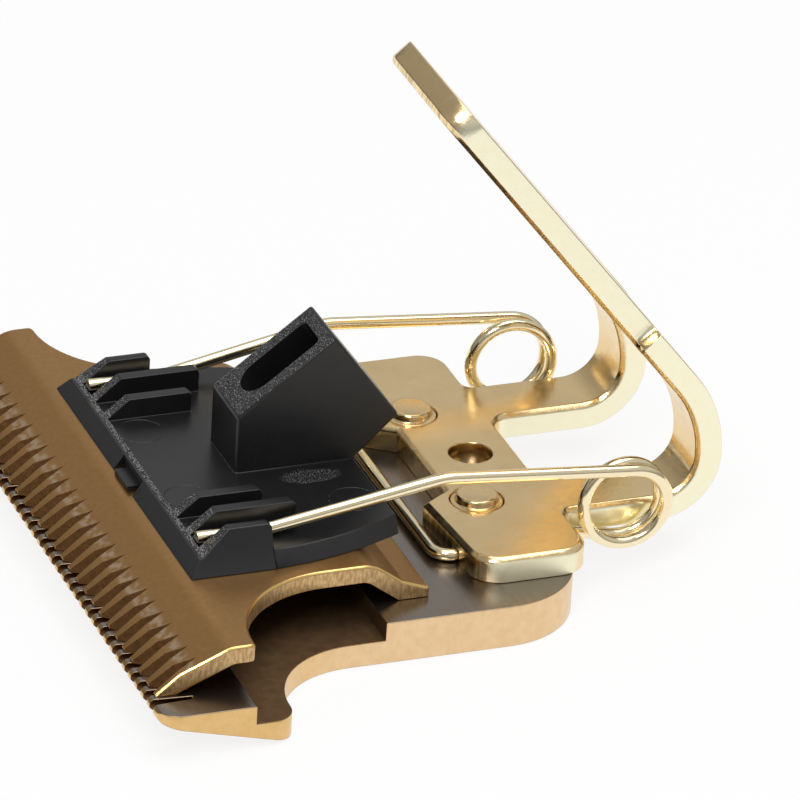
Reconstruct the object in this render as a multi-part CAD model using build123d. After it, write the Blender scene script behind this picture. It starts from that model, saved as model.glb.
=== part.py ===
from build123d import *
import os
from math import cos, radians, sin, sqrt, tan

# Trimmer T-blade cartridge in millimetres. X runs across the blade, -Y points to the teeth and +Z is up.
# The origin lies on the fixed blade's outer face, straight under the centre hole of the hook bracket.
# Names that end in _X, _Y or _Z are places in that frame, the others are sizes.

# Fixed blade: a thick T-shaped plate with a trough right across it
BAR_WIDTH = 40.0
STEM_WIDTH = 27.4
BLADE_THICKNESS = 2.3
FIXED_TIP_Y = -23.6
BAR_REAR_Y = -16.4
STEM_REAR_Y = 2.0
BAR_FRONT_RADIUS = 1.2
BAR_REAR_RADIUS = 1.35
BAR_REAR_FLAT = 0.05
STEM_CORNER_RADIUS = 4.8
TROUGH_FRONT_Y = -18.65
TROUGH_REAR_Y = -9.55
TROUGH_DEPTH = 1.0
BEVEL_START_Y = -16.7
FIXED_TIP_THICKNESS = 0.6
FIXED_TIP_BEVEL = 0.18
FIXED_PITCH = 0.96
FIXED_TEETH = 38
FIXED_GAP_TIP = 0.52
FIXED_GAP_ROOT = 0.24
FIXED_GAP_DEPTH = 2.2

# Moving blade: a formed sheet with coarser teeth, which slides on the fixed blade's two lands
SLIDE_CLEARANCE = 0.02
CUTTER_BAR_WIDTH = 35.6
CUTTER_STEM_WIDTH = 23.2
CUTTER_SHEET = 0.95
CUTTER_TIP_Y = -23.2
CUTTER_TIP_HEIGHT = 0.14
CUTTER_FACET_Y = -22.0
CUTTER_FACET_HEIGHT = 1.07
CUTTER_FRONT_ANGLE = 23.3
CUTTER_RISE = 2.2
CUTTER_BAR_REAR_Y = -18.0
CUTTER_BAR_RADIUS = 0.35
CUTTER_BAR_FLAT = 0.05
CUTTER_REAR_ANGLE = 36.0
CUTTER_FOOT_ANGLE = 20.0
CUTTER_FOOT_FRONT_Y = -7.95
CUTTER_FOOT_REAR_Y = -6.5
CUTTER_FOOT_HEIGHT = 0.5
CUTTER_BEND_RADIUS = 0.9
CUTTER_FOOT_RADIUS = 0.2
CUTTER_PITCH = 1.22
CUTTER_GULLETS = 29
CUTTER_GULLET_Y = -20.9
CUTTER_GULLET_HALF_ANGLE = 30.0
CUTTER_GULLET_FALL = 42.5
CUTTER_RIM_BEVEL = 0.12

# Drive saddle: a moulded seat staked on the moving blade
SADDLE_WIDTH = 21.5
SADDLE_FRONT_Y = -19.0
SADDLE_REAR_Y = -7.2
SADDLE_CURVE_Y = -15.5
SADDLE_CURVE_RADIUS = 18.4
SADDLE_FLARE = 36.0
SADDLE_FLOOR = 0.8
NOSE_HEIGHT = 0.5
NOSE_ANGLE = 40.0
LIP_REAR_Y = -18.1
NOTCH_WIDTH = 3.0
NOTCH_DEPTH = 0.2
GATE_WIDTH = 2.0
GATE_HEIGHT = 0.3
GATE_PROUD = 0.1
RIB_THICKNESS = 0.67
RIB_CORNER_RADIUS = 0.25
LONG_RIB_X = 7.47
LONG_RIB_REAR_Y = -12.45
LONG_RIB_HEIGHT = 1.28
SHORT_RIB_X = 5.47
SHORT_RIB_REAR_Y = -13.55
SHORT_RIB_HEIGHT = 1.1
WALL_INNER_X = 9.15
WALL_TOP_X = 9.7
WALL_HEIGHT = 1.28
WALL_REAR_Y = -14.45
TOWER_WIDTH = 3.9
TOWER_FRONT_Y = -13.65
TOWER_FRONT_HEIGHT = 3.2
TOWER_ANGLE = 37.0
TOWER_LENGTH = 6.45
TOWER_DEPTH = 6.05
TOWER_EDGE_BEVEL = 0.1
SLOT_WIDTH = 2.2
SLOT_LENGTH = 4.6
SLOT_DEPTH = 4.5
SLOT_SETBACK = 1.1
SLOT_CORNER_RADIUS = 0.3
PEG_X = 6.0
PEG_Y = -11.6
PEG_RADIUS = 0.95
PEG_CLEARANCE = 0.03
PEG_HEAD_RADIUS = 1.5
PEG_HEAD_HEIGHT = 0.55

# Hook bracket: one bent sheet, a plate with two arms that curl up into a leaning tongue
BRACKET_SHEET = 1.4
BRACKET_EDGE_BEVEL = 0.25
PLATE_WIDTH = 22.6
PLATE_REAR_Y = 2.45
PLATE_RECESS_Y = -2.72
PLATE_RECESS_WIDTH = 6.8
PLATE_EAR_Y = -4.24
PLATE_EAR_SLANT = 1.0
PLATE_EAR_SWEEP = 0.55
PLATE_CORNER_RADIUS = 1.6
HOLE_RADIUS = 1.15
ARM_OUTER_X = 7.05
ARM_ROOT_RADIUS = 0.5
WINDOW_WIDTH = 7.0
WINDOW_RADIUS = 1.0
BEND_CENTRE_Y = 7.6
BEND_RADIUS = 2.05
UPPER_BEND_RADIUS = 5.9
TONGUE_ANGLE = 51.0
TONGUE_TIP_WIDTH = 9.1
TONGUE_LENGTH = 20.2
TONGUE_CORNER_RADIUS = 1.9
SHOULDER_AT = 3.5
SHOULDER_STEP = 0.8
SHOULDER_RADIUS = 0.4
WINDOW_TOP_AT = 2.6

# Rivets that hold the bracket to the fixed blade
RIVET_X = 4.9
RIVET_Y = -1.5
RIVET_SHANK_RADIUS = 0.8
RIVET_CLEARANCE = 0.02
RIVET_HEAD_RADIUS = 1.1
RIVET_HEAD_PROUD = 0.4
RIVET_HEAD_SUNK = 0.4
RIVET_HEAD_BEVEL = 0.15
RIVET_POCKET_RADIUS = 1.42
RIVET_TAIL_RADIUS = 1.3

# Torsion spring: one wire with a coil beside each arm and a cross bar before the plate
WIRE_DIAMETER = 0.66
WIRE_SIDES = 12
WIRE_CLEARANCE = 0.04
GROOVE_CLEARANCE = 0.08
COIL_RADIUS = 2.18
COIL_Y = 5.25
COIL_Z = 4.3
COIL_HALF_TURNS = 3
COIL_PITCH = 0.9
COIL_ARM_GAP = 0.12
COIL_ENTRY_ANGLE = 5.25
COIL_EXIT_ANGLE = 12.5
SPRING_BEND_Y = -4.9
SPRING_KNEE_Y = -14.2
SPRING_TIP_X = 8.55
SPRING_TIP_Y = -18.05
ARM_BEND_RADIUS = 3.0
CROSS_BAR_Y = -4.9
CROSS_BAR_X = 8.5
LEG_BEND_RADIUS = 0.9

# Levels that several pieces share
LAND_Z = BLADE_THICKNESS
CUTTER_Z = LAND_Z + SLIDE_CLEARANCE
PLATEAU_Z = CUTTER_Z + CUTTER_RISE
FLOOR_Z = PLATEAU_Z + SADDLE_FLOOR
NOSE_Y = SADDLE_FRONT_Y + NOSE_HEIGHT * tan(radians(SADDLE_FLARE))
NOSE_Z = PLATEAU_Z + NOSE_HEIGHT
PLATE_TOP_Z = LAND_Z + BRACKET_SHEET
LEG_Z = LAND_Z + WIRE_DIAMETER / 2 + WIRE_CLEARANCE
COIL_INNER_X = ARM_OUTER_X + COIL_ARM_GAP + WIRE_DIAMETER / 2
COIL_OUTER_X = COIL_INNER_X + COIL_HALF_TURNS / 2 * COIL_PITCH
COIL_END_Y = COIL_Y - COIL_RADIUS * sin(radians(COIL_EXIT_ANGLE))
COIL_END_Z = COIL_Z - COIL_RADIUS * cos(radians(COIL_EXIT_ANGLE))
LEG_REAR_Y = COIL_END_Y - (LEG_Z - COIL_END_Z) / tan(radians(COIL_EXIT_ANGLE))

SIDES = (-1, 1)
OVERRUN = 5.0
SHEER = 0.05
ON_BASE = (Align.CENTER, Align.CENTER, Align.MIN)


def rectangle(x0, x1, y0, y1):
    """A flat rectangle between limits."""
    return Pos((x0 + x1) / 2, (y0 + y1) / 2) * Rectangle(x1 - x0, y1 - y0)


def polygon(*points):
    """A flat face with straight edges through the points."""
    return make_face(Polyline(*points, close=True))


def rounded(face, radius, *points):
    """The flat face with an arc in place of each corner named by its point."""
    found = [min(face.vertices(), key=lambda v: (v.X - x) ** 2 + (v.Y - y) ** 2) for x, y in points]
    return fillet(found, radius)


def both_sides(x, y):
    """A point and its mirror image across the middle plane."""
    return (-x, y), (x, y)


def across(face, x0, x1):
    """A prism along X from a face drawn in Y and Z."""
    return Pos(x0, 0, 0) * extrude(Plane.YZ * face, x1 - x0)


def along(face, y0, y1):
    """A prism along Y from a face drawn in X and Z."""
    return Pos(0, y1, 0) * extrude(Plane.XZ * face, y1 - y0)


def upright(face, z0, z1):
    """A prism along Z from a face drawn in X and Y."""
    return Pos(0, 0, z0) * extrude(face, z1 - z0)


def tooth_gap(x, tip_y, root_y, tip_width, root_width):
    """The plan of a gap between two teeth, which narrows to its root and ends well past the tips."""
    root_half = root_width / 2
    front_half = root_half + (tip_width - root_width) / 2 * OVERRUN / (root_y - tip_y)
    front_y = root_y - OVERRUN
    root = (x - root_half, root_y), (x + root_half, root_y)
    return polygon(*root, (x + front_half, front_y), (x - front_half, front_y))


def make_fixed_blade():
    """A T-shaped plate, bevelled under its front bar, with a row of fine teeth and a trough across."""
    bar_x = BAR_WIDTH / 2
    stem_x = STEM_WIDTH / 2
    neck_radius = bar_x - stem_x - BAR_REAR_RADIUS - BAR_REAR_FLAT
    plan = rectangle(-bar_x, bar_x, FIXED_TIP_Y, BAR_REAR_Y)
    plan += rectangle(-stem_x, stem_x, BAR_REAR_Y, STEM_REAR_Y)
    plan = rounded(plan, neck_radius, *both_sides(stem_x, BAR_REAR_Y))
    plan = rounded(plan, BAR_REAR_RADIUS, *both_sides(bar_x, BAR_REAR_Y))
    plan = rounded(plan, BAR_FRONT_RADIUS, *both_sides(bar_x, FIXED_TIP_Y))
    plan = rounded(plan, STEM_CORNER_RADIUS, *both_sides(stem_x, STEM_REAR_Y))
    root_y = FIXED_TIP_Y + FIXED_GAP_DEPTH
    for i in range(FIXED_TEETH + 1):
        x = (i - FIXED_TEETH / 2) * FIXED_PITCH
        plan -= tooth_gap(x, FIXED_TIP_Y, root_y, FIXED_GAP_TIP, FIXED_GAP_ROOT)
    tip_z = LAND_Z - FIXED_TIP_THICKNESS
    trough_z = LAND_Z - TROUGH_DEPTH
    section = polygon(
        (STEM_REAR_Y, 0),
        (BEVEL_START_Y, 0),
        (FIXED_TIP_Y + FIXED_TIP_BEVEL, tip_z),
        (FIXED_TIP_Y, tip_z + FIXED_TIP_BEVEL),
        (FIXED_TIP_Y, LAND_Z - FIXED_TIP_BEVEL),
        (FIXED_TIP_Y + FIXED_TIP_BEVEL, LAND_Z),
        (TROUGH_FRONT_Y, LAND_Z),
        (TROUGH_FRONT_Y, trough_z),
        (TROUGH_REAR_Y, trough_z),
        (TROUGH_REAR_Y, LAND_Z),
        (STEM_REAR_Y, LAND_Z),
    )
    blade = upright(plan, 0, LAND_Z) & across(section, -bar_x, bar_x)
    shank = RIVET_SHANK_RADIUS + RIVET_CLEARANCE
    tail = RIVET_TAIL_RADIUS + RIVET_CLEARANCE
    hole = Cylinder(shank, LAND_Z, align=ON_BASE) + Cone(tail, shank, tail - shank, align=ON_BASE)
    for side in SIDES:
        blade -= Pos(side * RIVET_X, RIVET_Y, 0) * hole
    return blade


def make_moving_blade():
    """A formed sheet: teeth ground flat on the front land, a plateau, and a foot on the rear land."""
    bar_x = CUTTER_BAR_WIDTH / 2
    stem_x = CUTTER_STEM_WIDTH / 2
    neck_radius = bar_x - stem_x - CUTTER_BAR_RADIUS - CUTTER_BAR_FLAT
    plan = rectangle(-bar_x, bar_x, CUTTER_TIP_Y, CUTTER_BAR_REAR_Y)
    plan += rectangle(-stem_x, stem_x, CUTTER_BAR_REAR_Y, CUTTER_FOOT_REAR_Y)
    plan = rounded(plan, neck_radius, *both_sides(stem_x, CUTTER_BAR_REAR_Y))
    plan = rounded(plan, CUTTER_BAR_RADIUS, *both_sides(bar_x, CUTTER_BAR_REAR_Y))
    for side in SIDES:
        plan -= Pos(side * PEG_X, PEG_Y) * Circle(PEG_RADIUS + PEG_CLEARANCE)
    blank = upright(plan, CUTTER_Z, PLATEAU_Z) & across(cutter_section(), -bar_x, bar_x)
    blank = chamfer(cutter_rim(blank), CUTTER_RIM_BEVEL)
    for i in range(CUTTER_GULLETS):
        blank -= Pos((i - (CUTTER_GULLETS - 1) / 2) * CUTTER_PITCH, 0, 0) * cutter_gullet()
    return blank


def cutter_rim(blank):
    """The upper edges of the blank's outline, from the tips to the foot."""
    upper = [edge for face in blank.faces() if face.normal_at().Z > SHEER for edge in face.edges()]
    walls = [edge for face in blank.faces() if abs(face.normal_at().Z) < SHEER for edge in face.edges()]
    stem_x = CUTTER_STEM_WIDTH / 2
    return [edge for edge in upper if edge in walls and abs(edge.center().X) > stem_x - CUTTER_RIM_BEVEL]


def cutter_gullet():
    """A ground V groove in the middle plane, which falls towards the tips and leaves the sole near them."""
    slope = tan(radians(CUTTER_FRONT_ANGLE))
    root_z = CUTTER_Z + CUTTER_FACET_HEIGHT + (CUTTER_GULLET_Y - CUTTER_FACET_Y) * slope
    half = OVERRUN * tan(radians(CUTTER_GULLET_HALF_ANGLE))
    wedge = polygon((0, root_z), (half, root_z + OVERRUN), (-half, root_z + OVERRUN))
    fall = radians(CUTTER_GULLET_FALL)
    return Pos(0, CUTTER_GULLET_Y, 0) * extrude(Plane.XZ * wedge, OVERRUN, dir=(0, -cos(fall), -sin(fall)))


def cutter_section():
    """The bent sheet's section in Y and Z, of even thickness up to the ground teeth."""
    front_slope = tan(radians(CUTTER_FRONT_ANGLE))
    rear_slope = tan(radians(CUTTER_REAR_ANGLE))
    facet_z = CUTTER_Z + CUTTER_FACET_HEIGHT
    foot_run = CUTTER_FOOT_REAR_Y - CUTTER_FOOT_FRONT_Y
    foot_top = (CUTTER_FOOT_REAR_Y, CUTTER_Z + CUTTER_FOOT_HEIGHT)
    foot_bottom = (CUTTER_FOOT_REAR_Y, CUTTER_Z)
    knee = (CUTTER_FOOT_FRONT_Y, foot_top[1] + foot_run * tan(radians(CUTTER_FOOT_ANGLE)))
    under_z = PLATEAU_Z - CUTTER_SHEET
    front_shift = CUTTER_SHEET * tan(radians(CUTTER_FRONT_ANGLE / 2))
    rear_shift = CUTTER_SHEET * tan(radians(CUTTER_REAR_ANGLE / 2))
    front_crest = (CUTTER_FACET_Y + (PLATEAU_Z - facet_z) / front_slope, PLATEAU_Z)
    rear_crest = (knee[0] - (PLATEAU_Z - knee[1]) / rear_slope, PLATEAU_Z)
    front_under = (front_crest[0] + front_shift, under_z)
    rear_under = (rear_crest[0] - rear_shift, under_z)
    section = polygon(
        (CUTTER_TIP_Y, CUTTER_Z),
        (CUTTER_TIP_Y, CUTTER_Z + CUTTER_TIP_HEIGHT),
        (CUTTER_FACET_Y, facet_z),
        front_crest,
        rear_crest,
        knee,
        foot_top,
        foot_bottom,
        (rear_under[0] + (under_z - CUTTER_Z) / rear_slope, CUTTER_Z),
        rear_under,
        front_under,
        (front_under[0] - (under_z - CUTTER_Z) / front_slope, CUTTER_Z),
    )
    section = rounded(section, CUTTER_BEND_RADIUS + CUTTER_SHEET, front_crest, rear_crest)
    section = rounded(section, CUTTER_BEND_RADIUS, front_under, rear_under, knee)
    return rounded(section, CUTTER_FOOT_RADIUS, foot_top)


def saddle_rib(x0, x1, height, rear_y):
    """An upright rib of the seat between two places in X, chamfered in front and rounded behind."""
    top_z = FLOOR_Z + height
    crest_y = NOSE_Y + (top_z - NOSE_Z) / tan(radians(NOSE_ANGLE))
    side_view = polygon(
        (NOSE_Y, PLATEAU_Z),
        (NOSE_Y, NOSE_Z),
        (crest_y, top_z),
        (rear_y, top_z),
        (rear_y, PLATEAU_Z),
    )
    return across(rounded(side_view, RIB_CORNER_RADIUS, (rear_y, top_z)), x0, x1)


def saddle_plate():
    """The seat's flared plate, whose sides curve in towards the rear."""
    half = SADDLE_WIDTH / 2
    past_rear = SADDLE_REAR_Y + SADDLE_FLOOR
    curve_in = SADDLE_CURVE_RADIUS - sqrt(SADDLE_CURVE_RADIUS**2 - (past_rear - SADDLE_CURVE_Y) ** 2)
    side = Line((half, SADDLE_FRONT_Y), (half, SADDLE_CURVE_Y))
    curve = TangentArc((half, SADDLE_CURVE_Y), (half - curve_in, past_rear), tangent=(0, 1))
    ends = [
        Line((-half, SADDLE_FRONT_Y), (half, SADDLE_FRONT_Y)),
        Line((half - curve_in, past_rear), (curve_in - half, past_rear)),
    ]
    foot = make_face([side, curve, mirror(side, Plane.YZ), mirror(curve, Plane.YZ), *ends])
    flared = Pos(0, 0, PLATEAU_Z) * extrude(foot, SADDLE_FLOOR, taper=SADDLE_FLARE)
    return flared & upright(rectangle(-half, half, SADDLE_FRONT_Y, SADDLE_REAR_Y), PLATEAU_Z, FLOOR_Z)


def saddle_seat():
    """The flared plate with a slanting front lip, and on each side two ribs and a leaning outer wall."""
    half = SADDLE_WIDTH / 2
    rib_half = RIB_THICKNESS / 2
    lip_z = NOSE_Z + (LIP_REAR_Y - NOSE_Y) * tan(radians(NOSE_ANGLE))
    lip = polygon((NOSE_Y, PLATEAU_Z), (NOSE_Y, NOSE_Z), (LIP_REAR_Y, lip_z), (LIP_REAR_Y, PLATEAU_Z))
    floor_x = half - SADDLE_FLOOR * tan(radians(SADDLE_FLARE))
    leaning = polygon(
        (WALL_INNER_X, PLATEAU_Z),
        (half, PLATEAU_Z),
        (floor_x, FLOOR_Z),
        (WALL_TOP_X, FLOOR_Z + WALL_HEIGHT),
        (WALL_INNER_X, FLOOR_Z + WALL_HEIGHT),
    )
    wall = saddle_rib(WALL_INNER_X, half, WALL_HEIGHT, WALL_REAR_Y) & along(leaning, NOSE_Y, WALL_REAR_Y)
    wall += saddle_rib(LONG_RIB_X - rib_half, LONG_RIB_X + rib_half, LONG_RIB_HEIGHT, LONG_RIB_REAR_Y)
    wall += saddle_rib(SHORT_RIB_X - rib_half, SHORT_RIB_X + rib_half, SHORT_RIB_HEIGHT, SHORT_RIB_REAR_Y)
    seat = saddle_plate() + across(lip, -WALL_INNER_X, WALL_INNER_X) + wall + mirror(wall, Plane.YZ)
    notch = rectangle(-NOTCH_WIDTH / 2, NOTCH_WIDTH / 2, SADDLE_FRONT_Y, NOSE_Y + NOTCH_DEPTH)
    gate = rectangle(-GATE_WIDTH / 2, GATE_WIDTH / 2, SADDLE_FRONT_Y - GATE_PROUD, LIP_REAR_Y)
    seat -= upright(notch, PLATEAU_Z, FLOOR_Z + WALL_HEIGHT)
    return seat + upright(gate, PLATEAU_Z, PLATEAU_Z + GATE_HEIGHT)


def saddle_tower():
    """The leaning drive block with a slot down through its upper face."""
    tilt = radians(TOWER_ANGLE)
    front = (TOWER_FRONT_Y, FLOOR_Z + TOWER_FRONT_HEIGHT)
    crest = (front[0] + TOWER_LENGTH * cos(tilt), front[1] + TOWER_LENGTH * sin(tilt))
    heel = (crest[0] + TOWER_DEPTH * sin(tilt), crest[1] - TOWER_DEPTH * cos(tilt))
    side_view = polygon(
        (TOWER_FRONT_Y, PLATEAU_Z),
        front,
        crest,
        heel,
        (SADDLE_REAR_Y, FLOOR_Z),
        (SADDLE_REAR_Y, PLATEAU_Z),
    )
    block = across(side_view, -TOWER_WIDTH / 2, TOWER_WIDTH / 2)
    above_seat = block.edges().filter_by_position(Axis.Z, FLOOR_Z + TOWER_EDGE_BEVEL, crest[1])
    block = chamfer(above_seat, TOWER_EDGE_BEVEL)
    middle = SLOT_SETBACK + SLOT_LENGTH / 2
    centre = (0, front[0] + middle * cos(tilt), front[1] + middle * sin(tilt))
    face = Plane(origin=centre, x_dir=(0, cos(tilt), sin(tilt)), z_dir=(0, -sin(tilt), cos(tilt)))
    end = SLOT_LENGTH / 2
    half = SLOT_WIDTH / 2
    slot = rectangle(half - end, end, -half, half)
    slot = rounded(slot, SLOT_CORNER_RADIUS, (end, -half), (end, half)) + Pos(half - end, 0) * Circle(half)
    return block - extrude(face * slot, -SLOT_DEPTH) - extrude(face * slot, OVERRUN)


def make_drive_saddle():
    """Seat and tower in one moulding, staked through the moving blade by two pegs with flattened heads."""
    saddle = saddle_seat() + saddle_tower()
    under_z = PLATEAU_Z - CUTTER_SHEET
    peg = Pos(0, 0, under_z) * Cylinder(PEG_RADIUS, CUTTER_SHEET, align=ON_BASE)
    peg += Pos(0, 0, under_z - PEG_HEAD_HEIGHT) * Cylinder(PEG_HEAD_RADIUS, PEG_HEAD_HEIGHT, align=ON_BASE)
    for side in SIDES:
        saddle += Pos(side * PEG_X, PEG_Y, 0) * peg
    return saddle


def bracket_flat():
    """The flat of the bracket: a plate recessed between two ears, and the straight start of both arms."""
    half = PLATE_WIDTH / 2
    recess = PLATE_RECESS_WIDTH / 2
    ear = recess + PLATE_EAR_SLANT
    front_y = PLATE_EAR_Y + PLATE_EAR_SWEEP
    window_x = WINDOW_WIDTH / 2
    plan = polygon(
        (-recess, PLATE_RECESS_Y),
        (recess, PLATE_RECESS_Y),
        (ear, PLATE_EAR_Y),
        (half, front_y),
        (half, PLATE_REAR_Y),
        (-half, PLATE_REAR_Y),
        (-half, front_y),
        (-ear, PLATE_EAR_Y),
    )
    plan += rectangle(-ARM_OUTER_X, ARM_OUTER_X, PLATE_REAR_Y, BEND_CENTRE_Y)
    plan -= rectangle(-window_x, window_x, PLATE_REAR_Y, BEND_CENTRE_Y)
    plan = rounded(plan, PLATE_CORNER_RADIUS, *both_sides(half, front_y), *both_sides(half, PLATE_REAR_Y))
    plan = rounded(plan, WINDOW_RADIUS, *both_sides(window_x, PLATE_REAR_Y))
    plan = rounded(plan, ARM_ROOT_RADIUS, *both_sides(ARM_OUTER_X, PLATE_REAR_Y))
    return upright(plan, LAND_Z, PLATE_TOP_Z)


def bend_side(offset):
    """One skin of the bent strip in Y and Z, the given distance outside the strip's inner skin."""
    lower = JernArc((BEND_CENTRE_Y, PLATE_TOP_Z - offset), (1, 0), BEND_RADIUS + offset, 90)
    upper = JernArc(lower @ 1, (0, 1), UPPER_BEND_RADIUS + offset, 90 - TONGUE_ANGLE)
    return lower, upper


def bracket_hook():
    """The curled part of both arms, and the tapered tongue that joins them above the window."""
    inner = bend_side(0)
    outer = bend_side(BRACKET_SHEET)
    start = Line(inner[0] @ 0, outer[0] @ 0)
    end = Line(inner[1] @ 1, outer[1] @ 1)
    strip = make_face([*inner, *outer, start, end])
    window_x = WINDOW_WIDTH / 2
    root_x = ARM_OUTER_X - SHOULDER_STEP
    tip_x = TONGUE_TIP_WIDTH / 2
    root = end @ 0.5
    lean = radians(TONGUE_ANGLE)
    leaf = Plane(origin=(0, root.X, root.Y), x_dir=(1, 0, 0), z_dir=(0, -sin(lean), -cos(lean)))
    plan = rectangle(-ARM_OUTER_X, ARM_OUTER_X, 0, SHOULDER_AT)
    plan += polygon(*both_sides(root_x, SHOULDER_AT), (tip_x, TONGUE_LENGTH), (-tip_x, TONGUE_LENGTH))
    plan -= rectangle(-window_x, window_x, 0, WINDOW_TOP_AT)
    plan = rounded(plan, TONGUE_CORNER_RADIUS, *both_sides(tip_x, TONGUE_LENGTH))
    plan = rounded(plan, SHOULDER_RADIUS, *both_sides(root_x, SHOULDER_AT))
    plan = rounded(plan, WINDOW_RADIUS, *both_sides(window_x, WINDOW_TOP_AT))
    hook = extrude(leaf * plan, BRACKET_SHEET / 2, both=True)
    for side in SIDES:
        hook += across(strip, *sorted((side * window_x, side * ARM_OUTER_X)))
    return hook


def softened(sheet):
    """The bent sheet with its inner skin's rims bevelled: the edges that belong to one face of that skin."""
    lean = radians(TONGUE_ANGLE)
    inward = Vector(0, -sin(lean), -cos(lean))
    flat = sheet.faces().filter_by(GeomType.PLANE)
    skins = flat.filter_by(lambda face: (face.normal_at() - Vector(0, 0, 1)).length < SHEER)
    skins += flat.filter_by(lambda face: (face.normal_at() - inward).length < SHEER)
    bends = sheet.faces().filter_by(GeomType.CYLINDER)
    bends = bends.filter_by(lambda face: face.axis_of_rotation.is_parallel(Axis.X))
    skins += bends.filter_by(lambda face: face.radius in (BEND_RADIUS, UPPER_BEND_RADIUS))
    edges = ShapeList(edge for skin in skins for edge in skin.edges())
    return chamfer([edge for edge in edges if edges.count(edge) == 1], BRACKET_EDGE_BEVEL)


def make_hook_bracket():
    """Plate and hook in one sheet, with the centre hole, rivet pockets and grooves over the spring's legs."""
    bracket = softened(bracket_flat() + bracket_hook())
    bracket -= Pos(0, 0, LAND_Z) * Cylinder(HOLE_RADIUS, BRACKET_SHEET, align=ON_BASE)
    seat_z = PLATE_TOP_Z - RIVET_HEAD_SUNK
    hole = Pos(0, 0, LAND_Z) * Cylinder(RIVET_SHANK_RADIUS + RIVET_CLEARANCE, BRACKET_SHEET, align=ON_BASE)
    hole += Pos(0, 0, seat_z) * Cylinder(RIVET_POCKET_RADIUS, RIVET_HEAD_SUNK, align=ON_BASE)
    groove_top = LEG_Z + WIRE_DIAMETER / 2 + WIRE_CLEARANCE
    for side in SIDES:
        bracket -= Pos(side * RIVET_X, RIVET_Y, 0) * hole
        leg = Line((side * COIL_INNER_X, LEG_REAR_Y), (side * CROSS_BAR_X, CROSS_BAR_Y))
        bracket -= upright(trace(leg, WIRE_DIAMETER + 2 * GROOVE_CLEARANCE), LAND_Z, groove_top)
    return bracket


def make_rivet(side):
    """A turned rivet: flush tail in the blade's outer face, round shank, low head in the bracket's pocket."""
    seat_z = PLATE_TOP_Z - RIVET_HEAD_SUNK
    top_z = PLATE_TOP_Z + RIVET_HEAD_PROUD
    profile = polygon(
        (0, 0),
        (RIVET_TAIL_RADIUS, 0),
        (RIVET_SHANK_RADIUS, RIVET_TAIL_RADIUS - RIVET_SHANK_RADIUS),
        (RIVET_SHANK_RADIUS, seat_z),
        (RIVET_HEAD_RADIUS, seat_z),
        (RIVET_HEAD_RADIUS, top_z - RIVET_HEAD_BEVEL),
        (RIVET_HEAD_RADIUS - RIVET_HEAD_BEVEL, top_z),
        (0, top_z),
    )
    return Pos(side * RIVET_X, RIVET_Y, 0) * revolve(Plane.XZ * profile, Axis.Z)


def coil_point(angle, x):
    """The wire's centre in the coil at an angle behind the coil's top."""
    turn = radians(angle)
    return Vector(x, COIL_Y + COIL_RADIUS * sin(turn), COIL_Z + COIL_RADIUS * cos(turn))


def coil_arcs():
    """Half turns that each lean by half a pitch, from the arm's side inwards, and a short end arc."""
    arcs = []
    for i in range(COIL_HALF_TURNS):
        angle = COIL_ENTRY_ANGLE + 180 * i
        x = COIL_OUTER_X - COIL_PITCH * i / 2
        ends = coil_point(angle, x), coil_point(angle + 180, x - COIL_PITCH / 2)
        arcs.append(ThreePointArc(ends[0], coil_point(angle + 90, x - COIL_PITCH / 4), ends[1]))
    first = COIL_ENTRY_ANGLE + 180 * COIL_HALF_TURNS
    last = COIL_EXIT_ANGLE + 180 * COIL_HALF_TURNS
    ends = [coil_point(angle, COIL_INNER_X) for angle in (first, (first + last) / 2, last)]
    return [*arcs, ThreePointArc(*ends)]


def make_torsion_spring():
    """One wire: from the saddle over a coil and back under the plate to a bar that joins both halves.

    Its round section is drawn with a few flats, which keeps the coils light.
    """
    coil = coil_arcs()
    top = coil[0] @ 0
    groove_z = FLOOR_Z + WIRE_DIAMETER / 2 + WIRE_CLEARANCE
    bend_z = top.Z + (top.Y - SPRING_BEND_Y) * tan(radians(COIL_ENTRY_ANGLE))
    tip = Vector(SPRING_TIP_X, SPRING_TIP_Y, groove_z)
    knee = Vector(SPRING_TIP_X, SPRING_KNEE_Y, groove_z)
    bend = Vector(COIL_OUTER_X, SPRING_BEND_Y, bend_z)
    level = Vector(COIL_INNER_X, LEG_REAR_Y, LEG_Z)
    corner = Vector(CROSS_BAR_X, CROSS_BAR_Y, LEG_Z)
    middle = Vector(0, CROSS_BAR_Y, LEG_Z)
    arm = FilletPolyline(tip, knee, bend, top, radius=ARM_BEND_RADIUS)
    leg = FilletPolyline(coil[-1] @ 1, level, corner, middle, radius=LEG_BEND_RADIUS)
    path = Wire([*arm.edges(), *coil, *leg.edges()])
    section = Plane(origin=tip, z_dir=knee - tip) * RegularPolygon(WIRE_DIAMETER / 2, WIRE_SIDES)
    half = sweep(section, path=path)
    return half + mirror(half, Plane.YZ)


NODES = {
    "fixed_blade": make_fixed_blade(),
    "moving_blade": make_moving_blade(),
    "drive_saddle": make_drive_saddle(),
    "hook_bracket": make_hook_bracket(),
    "torsion_spring": make_torsion_spring(),
    "rivet_left": make_rivet(-1),
    "rivet_right": make_rivet(1),
}

os.makedirs("parts", exist_ok=True)
for name, shape in NODES.items():
    export_step(shape, f"parts/{name}.step")
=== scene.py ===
import math

import bmesh
import bpy
from mathutils import Matrix, Vector


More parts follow.
